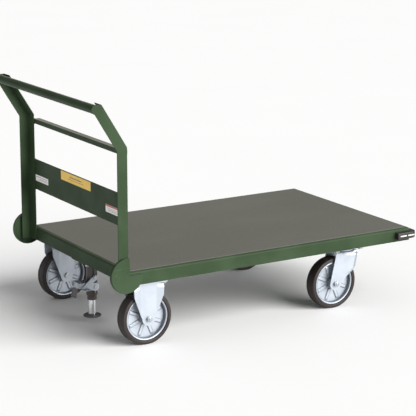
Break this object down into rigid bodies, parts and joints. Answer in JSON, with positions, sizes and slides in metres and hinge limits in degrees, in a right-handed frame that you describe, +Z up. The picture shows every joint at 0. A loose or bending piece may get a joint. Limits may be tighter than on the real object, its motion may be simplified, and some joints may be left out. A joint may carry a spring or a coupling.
{
  "type": "platform cart",
  "caption": "Platform cart with a fixed leaning push handle, rigid and swivel casters, rubber corner bumpers and a foot-operated floor lock.",
  "frame": {"origin": "on the floor, under the middle of the cart's overall box", "axes": "+X forward, away from the handle; +Y to the left; +Z up"},
  "size_m": [1.4086, 0.8448, 0.904],
  "materials": {
    "green_paint": "satin green stove enamel",
    "deck_mat": "matt grey non-slip mat",
    "zinc_fastener": "bright zinc plated",
    "zinc_plate": "bright zinc plated pressed steel",
    "bright_steel": "ground steel",
    "tyre_rubber": "matt moulded rubber",
    "bumper_rubber": "satin moulded rubber",
    "white_strip": "matt",
    "white_label": "satin film",
    "yellow_label": "satin film",
    "black_enamel": "semi-gloss black enamel",
    "chrome_plunger": "polished",
    "dark_rubber": "matt",
    "brass": "machined"
  },
  "bodies": {
    "platform": {"bumper_left": "bumper_rubber", "bumper_right": "bumper_rubber", "bumper_strips": "white_strip", "caster_bolts": "zinc_fastener", "caster_nuts": "zinc_fastener", "caster_pads": "green_paint", "cross_bar": "green_paint", "cross_channels": "green_paint", "deck_mat": "deck_mat", "deck_pan": "green_paint", "deck_ribs": "green_paint", "foot_disc_left": "green_paint", "foot_disc_right": "green_paint", "grease_nipple": "brass", "handle_panel": "green_paint", "handle_pipe": "green_paint", "kingpin_left": "zinc_fastener", "kingpin_right": "zinc_fastener", "label_notice": "white_label", "label_white": "white_label", "label_yellow": "yellow_label", "lever_pins": "bright_steel", "lock_bolts": "zinc_fastener", "lock_housing": "black_enamel", "lock_plate": "green_paint", "lock_spring": "bright_steel", "post_left": "green_paint", "post_right": "green_paint", "rear_axle_bolts": "zinc_fastener", "rear_axle_nuts": "zinc_fastener", "rear_fork_left": "zinc_plate", "rear_fork_right": "zinc_plate", "swivel_plate_left": "zinc_plate", "swivel_plate_right": "zinc_plate", "swivel_race_left": "zinc_plate", "swivel_race_right": "zinc_plate"},
    "rear_wheel_right": {"rear_rim_right": "zinc_plate", "rear_tyre_right": "tyre_rubber", "rear_bearing_right": "bright_steel"},
    "rear_wheel_left": {"rear_rim_left": "zinc_plate", "rear_tyre_left": "tyre_rubber", "rear_bearing_left": "bright_steel"},
    "front_swivel_right": {"front_fork_right": "zinc_plate", "front_axle_bolt_right": "zinc_fastener", "front_axle_nut_right": "zinc_fastener"},
    "front_swivel_left": {"front_fork_left": "zinc_plate", "front_axle_bolt_left": "zinc_fastener", "front_axle_nut_left": "zinc_fastener"},
    "front_wheel_right": {"front_rim_right": "zinc_plate", "front_tyre_right": "tyre_rubber", "front_bearing_right": "bright_steel"},
    "front_wheel_left": {"front_rim_left": "zinc_plate", "front_tyre_left": "tyre_rubber", "front_bearing_left": "bright_steel"},
    "plunger": {"lock_plunger": "chrome_plunger", "lock_foot": "dark_rubber"},
    "pedal": {"pedal": "zinc_plate", "pedal_boot": "dark_rubber"},
    "release": {"release_lever": "zinc_plate"}
  },
  "joints": [
    {"name": "rear_wheel_spin_right", "type": "hinge", "parent": "platform", "child": "rear_wheel_right", "pos_m": [-0.46806, -0.33, 0.1], "axis": [0, 1, 0], "continuous": true},
    {"name": "rear_wheel_spin_left", "type": "hinge", "parent": "platform", "child": "rear_wheel_left", "pos_m": [-0.46806, 0.33, 0.1], "axis": [0, 1, 0], "continuous": true},
    {"name": "front_swivel_right", "type": "hinge", "parent": "platform", "child": "front_swivel_right", "pos_m": [0.41694, -0.315, 0.2], "axis": [0, 0, 1], "continuous": true},
    {"name": "front_wheel_spin_right", "type": "hinge", "parent": "front_swivel_right", "child": "front_wheel_right", "pos_m": [0.36694, -0.315, 0.1], "axis": [0, 1, 0], "continuous": true},
    {"name": "front_swivel_left", "type": "hinge", "parent": "platform", "child": "front_swivel_left", "pos_m": [0.41694, 0.315, 0.2], "axis": [0, 0, 1], "continuous": true},
    {"name": "front_wheel_spin_left", "type": "hinge", "parent": "front_swivel_left", "child": "front_wheel_left", "pos_m": [0.36694, 0.315, 0.1], "axis": [0, 1, 0], "continuous": true},
    {"name": "pedal_hinge", "type": "hinge", "parent": "platform", "child": "pedal", "pos_m": [-0.50706, 0, 0.14], "axis": [0, -1, 0], "range_deg": [0, 20]},
    {"name": "plunger_slide", "type": "slide", "parent": "platform", "child": "plunger", "axis": [0, 0, -1], "range_m": [0, 0.021], "deforming": ["lock_spring"]},
    {"name": "release_hinge", "type": "hinge", "parent": "platform", "child": "release", "pos_m": [-0.51006, 0, 0.177], "axis": [0, -1, 0], "range_deg": [0, 12], "stiffness_Nm_per_rad": 0.5, "springref_deg": -28.65}
  ],
  "couplings": [
    {"joint": "plunger_slide", "follows": "pedal_hinge", "m_per_rad": 0.0601}
  ]
}
